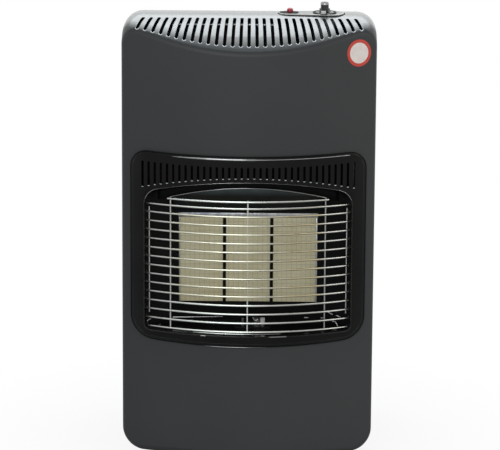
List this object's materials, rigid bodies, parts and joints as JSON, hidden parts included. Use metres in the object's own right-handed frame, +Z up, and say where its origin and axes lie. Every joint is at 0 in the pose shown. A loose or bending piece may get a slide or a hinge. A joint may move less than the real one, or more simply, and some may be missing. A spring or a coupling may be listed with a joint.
{
  "type": "portable gas cabinet heater",
  "caption": "Wheeled cabinet heater with a bowed front, wire-guarded ceramic burner, top knob and ignition button, and a hinged rear door to the bottle bay.",
  "frame": {"origin": "on the floor, under the middle of the heater's outer box", "axes": "+Z up, +X to the right as seen from the front, the fire faces -Y"},
  "size_m": [0.42, 0.378, 0.7714],
  "materials": {
    "case_anthracite": "fine textured semi-matt powder coat",
    "surround_black": "satin black enamel",
    "guard_wire": "bright plated wire",
    "plated_steel": "zinc plated",
    "inner_black": "gloss black enamel",
    "ceramic": "fine perforated fired clay",
    "electrode_white": "glazed ceramic",
    "brass": "turned",
    "gas_pipe": "drawn tube",
    "lead_insulation": "silicone sleeve",
    "valve_casting": "die cast",
    "black_plastic": "moulded",
    "knob_black": "moulded",
    "button_red": "moulded",
    "plate_grey": "moulded",
    "badge_cream": "printed film",
    "magnet": "ferrite in a plastic case",
    "wheel_plastic": "hard tread"
  },
  "bodies": {
    "cabinet": {"front_panel": "case_anthracite", "side_panel_left": "case_anthracite", "side_panel_right": "case_anthracite", "top_panel": "case_anthracite", "rear_frame": "case_anthracite", "door_hinges": "plated_steel", "hinge_pins": "plated_steel", "door_magnet": "magnet", "base_tray": "plated_steel", "front_surround": "surround_black", "fire_guard": "guard_wire", "burner_box": "plated_steel", "ceramic_plaque_left": "ceramic", "ceramic_plaque_centre": "ceramic", "ceramic_plaque_right": "ceramic", "burner_frame": "inner_black", "reflector_hood": "inner_black", "reflector_left": "inner_black", "reflector_right": "inner_black", "reflector_floor": "inner_black", "heat_shield": "plated_steel", "mixing_tubes": "plated_steel", "injectors": "brass", "injector_rail": "plated_steel", "pilot_burner": "plated_steel", "pilot_bracket": "plated_steel", "ignition_electrode": "electrode_white", "thermocouple": "gas_pipe", "feed_pipe_left": "gas_pipe", "feed_pipe_centre": "gas_pipe", "feed_pipe_right": "gas_pipe", "pilot_pipe": "gas_pipe", "ignition_lead": "lead_insulation", "valve_body": "valve_casting", "valve_bracket": "plated_steel", "knob_disc": "black_plastic", "control_plate": "plate_grey", "plate_gasket": "black_plastic", "igniter_body": "black_plastic", "igniter_bezel": "black_plastic", "inlet_pipe": "gas_pipe", "hose_tail": "brass", "round_badge": "badge_cream", "rear_screws": "plated_steel", "castor_plates": "plated_steel"},
    "knob_collar": {"push_collar": "plated_steel"},
    "knob": {"valve_stem": "brass", "control_knob": "knob_black"},
    "igniter": {"igniter_button": "button_red"},
    "door": {"rear_door": "case_anthracite"},
    "fork_front_left": {"castor_fork_front_left": "plated_steel"},
    "wheel_front_left": {"castor_wheel_front_left": "wheel_plastic"},
    "fork_front_right": {"castor_fork_front_right": "plated_steel"},
    "wheel_front_right": {"castor_wheel_front_right": "wheel_plastic"},
    "fork_rear_left": {"castor_fork_rear_left": "plated_steel"},
    "wheel_rear_left": {"castor_wheel_rear_left": "wheel_plastic"},
    "fork_rear_right": {"castor_fork_rear_right": "plated_steel"},
    "wheel_rear_right": {"castor_wheel_rear_right": "wheel_plastic"}
  },
  "joints": [
    {"name": "knob_push", "type": "slide", "parent": "cabinet", "child": "knob_collar", "axis": [0, 0.0523, -0.9986], "range_m": [0, 0.003], "stiffness_N_per_m": 600, "springref_m": -0.002},
    {"name": "knob_turn", "type": "hinge", "parent": "knob_collar", "child": "knob", "pos_m": [0.124, -0.082, 0.7544], "axis": [0, -0.0523, 0.9986], "range_deg": [0, 210]},
    {"name": "igniter_push", "type": "slide", "parent": "cabinet", "child": "igniter", "axis": [0, 0.0523, -0.9986], "range_m": [0, 0.006], "stiffness_N_per_m": 500, "springref_m": -0.002},
    {"name": "door_hinge", "type": "hinge", "parent": "cabinet", "child": "door", "pos_m": [-0.177, 0.1865, 0.36], "axis": [0, 0, 1], "range_deg": [0, 110]},
    {"name": "swivel_front_left", "type": "hinge", "parent": "cabinet", "child": "fork_front_left", "pos_m": [-0.13, -0.105, 0.05], "axis": [0, 0, 1], "continuous": true},
    {"name": "roll_front_left", "type": "hinge", "parent": "fork_front_left", "child": "wheel_front_left", "pos_m": [-0.13, -0.089, 0.0225], "axis": [1, 0, 0], "continuous": true},
    {"name": "swivel_front_right", "type": "hinge", "parent": "cabinet", "child": "fork_front_right", "pos_m": [0.13, -0.105, 0.05], "axis": [0, 0, 1], "continuous": true},
    {"name": "roll_front_right", "type": "hinge", "parent": "fork_front_right", "child": "wheel_front_right", "pos_m": [0.13, -0.089, 0.0225], "axis": [1, 0, 0], "continuous": true},
    {"name": "swivel_rear_left", "type": "hinge", "parent": "cabinet", "child": "fork_rear_left", "pos_m": [-0.13, 0.135, 0.05], "axis": [0, 0, 1], "continuous": true},
    {"name": "roll_rear_left", "type": "hinge", "parent": "fork_rear_left", "child": "wheel_rear_left", "pos_m": [-0.13, 0.151, 0.0225], "axis": [1, 0, 0], "continuous": true},
    {"name": "swivel_rear_right", "type": "hinge", "parent": "cabinet", "child": "fork_rear_right", "pos_m": [0.13, 0.135, 0.05], "axis": [0, 0, 1], "continuous": true},
    {"name": "roll_rear_right", "type": "hinge", "parent": "fork_rear_right", "child": "wheel_rear_right", "pos_m": [0.13, 0.151, 0.0225], "axis": [1, 0, 0], "continuous": true}
  ]
}
